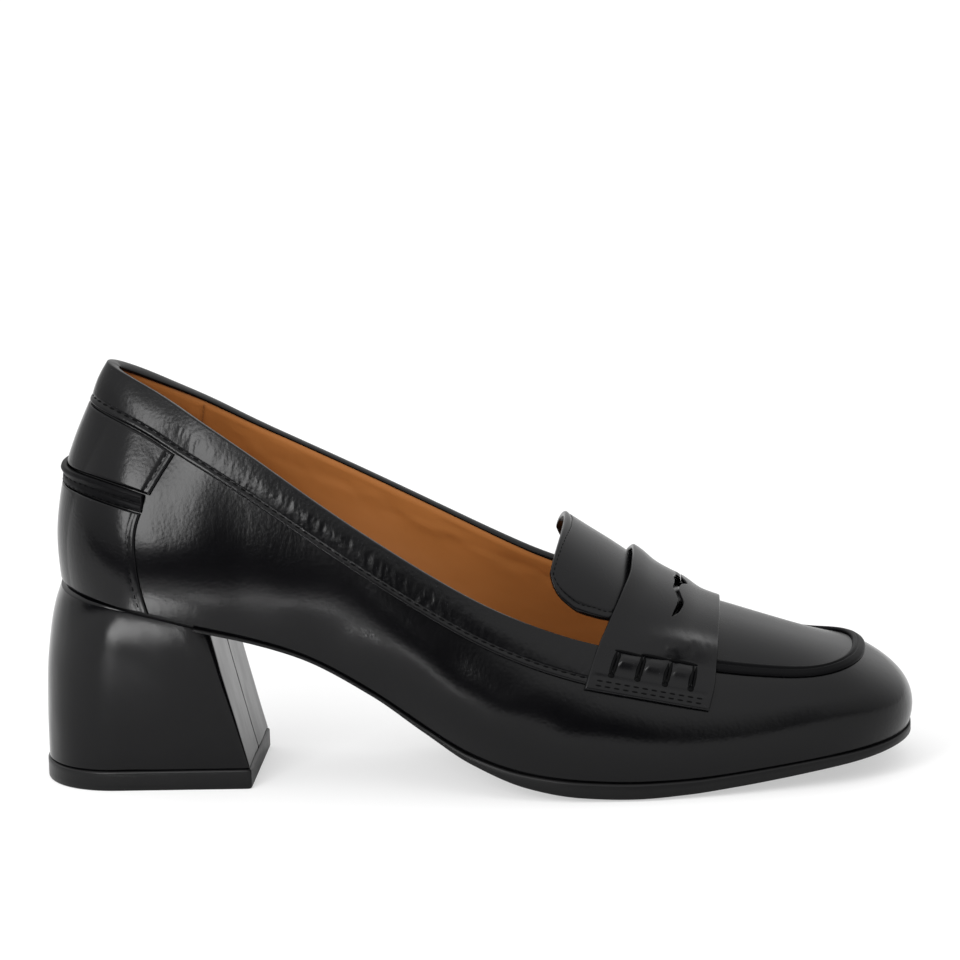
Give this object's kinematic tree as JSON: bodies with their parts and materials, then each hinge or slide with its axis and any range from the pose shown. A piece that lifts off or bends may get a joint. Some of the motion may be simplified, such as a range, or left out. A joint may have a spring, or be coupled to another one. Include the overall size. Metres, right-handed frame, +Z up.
{
  "type": "loafer pump",
  "caption": "Square-toed slip-on loafer pump in smooth calf with a puckered collar band, a slotted saddle strap over the tongue and a wrapped block heel.",
  "frame": {"origin": "middle of the heel's resting face, on the floor", "axes": "+X from the heel to the toe, +Y towards the inner side of the foot, +Z up"},
  "size_m": [0.2496, 0.0839, 0.1226],
  "materials": {
    "calf_black": "smooth glossy calf",
    "heel_black": "glossy leather cover over a block",
    "sole_black": "satin",
    "rubber_black": "matte",
    "sock_tan": "satin lining leather"
  },
  "bodies": {
    "root": {"upper": "calf_black", "collar_band": "calf_black", "counter_lower": "calf_black", "counter_upper": "calf_black", "counter_ridge": "calf_black", "apron_seam": "calf_black", "tongue": "calf_black", "saddle": "calf_black", "insole": "sock_tan", "outsole": "sole_black", "heel_block": "heel_black", "heel_top_piece": "rubber_black"}
  },
  "joints": []
}
